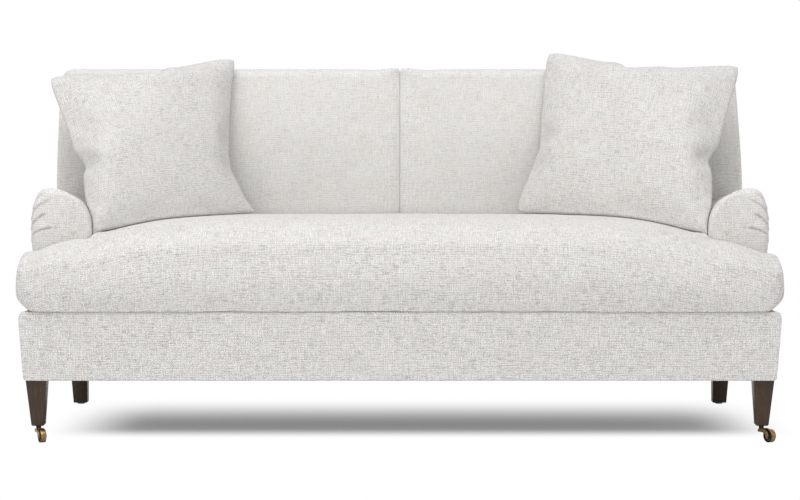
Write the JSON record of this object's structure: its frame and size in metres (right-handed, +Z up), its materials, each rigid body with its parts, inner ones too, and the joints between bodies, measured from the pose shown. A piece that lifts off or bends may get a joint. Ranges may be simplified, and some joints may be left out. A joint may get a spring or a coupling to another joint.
{
  "type": "roll arm sofa",
  "caption": "Long sofa with low roll arms, a T-shaped bench cushion, two padded back sections, throw pillows and tapered legs on front casters.",
  "frame": {"origin": "centre of the bounding box's bottom, on the floor under the middle of the sofa", "axes": "+X along the sofa to the viewer's right, the front faces -Y, +Z up"},
  "size_m": [1.88, 0.8758, 0.9667],
  "materials": {
    "upholstery_fabric": "ivory slub linen weave, matt",
    "deck_cloth": "plain woven deck cloth",
    "lining_cloth": "black non-woven cloth and webbing",
    "frame_wood": "bare kiln-dried hardwood",
    "leg_wood": "dark espresso stain, satin",
    "antique_brass": "antique brass, worn bright on the tread",
    "steel": "zinc-plated steel"
  },
  "bodies": {
    "frame": {"arm_left": "upholstery_fabric", "arm_right": "upholstery_fabric", "arm_stump_left": "frame_wood", "arm_stump_right": "frame_wood", "arm_top_rail_left": "frame_wood", "arm_top_rail_right": "frame_wood", "back_border_left": "upholstery_fabric", "back_border_right": "upholstery_fabric", "back_border_top": "upholstery_fabric", "back_lower_rail": "frame_wood", "back_pad_left": "upholstery_fabric", "back_pad_right": "upholstery_fabric", "back_post_center": "frame_wood", "back_post_left": "frame_wood", "back_post_right": "frame_wood", "back_rail": "frame_wood", "back_top_rail": "frame_wood", "back_webbing": "lining_cloth", "caster_stem_left": "antique_brass", "caster_stem_right": "antique_brass", "corner_block_front_left": "frame_wood", "corner_block_front_right": "frame_wood", "corner_block_rear_left": "frame_wood", "corner_block_rear_right": "frame_wood", "deck_pad": "deck_cloth", "dust_cover": "lining_cloth", "front_border": "upholstery_fabric", "front_rail": "frame_wood", "glide_rear_left": "steel", "glide_rear_right": "steel", "leg_bolt_front_left": "steel", "leg_bolt_front_right": "steel", "leg_bolt_rear_left": "steel", "leg_bolt_rear_right": "steel", "leg_front_left": "leg_wood", "leg_front_right": "leg_wood", "leg_rear_left": "leg_wood", "leg_rear_right": "leg_wood", "outside_arm_left": "upholstery_fabric", "outside_arm_right": "upholstery_fabric", "outside_back": "upholstery_fabric", "seat_spring_1": "steel", "seat_spring_2": "steel", "seat_spring_3": "steel", "seat_spring_4": "steel", "seat_spring_5": "steel", "seat_spring_6": "steel", "seat_spring_7": "steel", "seat_stretcher": "frame_wood", "side_rail_left": "frame_wood", "side_rail_right": "frame_wood"},
    "seat_cushion": {"seat_cushion": "upholstery_fabric"},
    "throw_pillow_left": {"throw_pillow_left": "upholstery_fabric"},
    "throw_pillow_right": {"throw_pillow_right": "upholstery_fabric"},
    "caster_left": {"caster_horn_left": "antique_brass", "caster_axle_left": "antique_brass"},
    "caster_right": {"caster_horn_right": "antique_brass", "caster_axle_right": "antique_brass"},
    "wheel_left": {"caster_wheel_left": "antique_brass"},
    "wheel_right": {"caster_wheel_right": "antique_brass"}
  },
  "joints": [
    {"name": "seat_cushion_lift", "type": "slide", "parent": "frame", "child": "seat_cushion", "axis": [0, 0, 1], "range_m": [0, 0.35]},
    {"name": "throw_pillow_left_lift", "type": "slide", "parent": "seat_cushion", "child": "throw_pillow_left", "axis": [0, 0, 1], "range_m": [0, 0.5]},
    {"name": "throw_pillow_right_lift", "type": "slide", "parent": "seat_cushion", "child": "throw_pillow_right", "axis": [0, 0, 1], "range_m": [0, 0.5]},
    {"name": "caster_left_swivel", "type": "hinge", "parent": "frame", "child": "caster_left", "pos_m": [-0.8906, -0.39179, 0.032], "axis": [0, 0, 1], "continuous": true},
    {"name": "wheel_left_spin", "type": "hinge", "parent": "caster_left", "child": "wheel_left", "pos_m": [-0.87799, -0.42011, 0.01636], "axis": [0.9135, 0.4067, 0], "continuous": true},
    {"name": "caster_right_swivel", "type": "hinge", "parent": "frame", "child": "caster_right", "pos_m": [0.8906, -0.39179, 0.032], "axis": [0, 0, 1], "continuous": true},
    {"name": "wheel_right_spin", "type": "hinge", "parent": "caster_right", "child": "wheel_right", "pos_m": [0.9068, -0.41822, 0.01636], "axis": [0.8526, 0.5225, 0], "continuous": true}
  ]
}
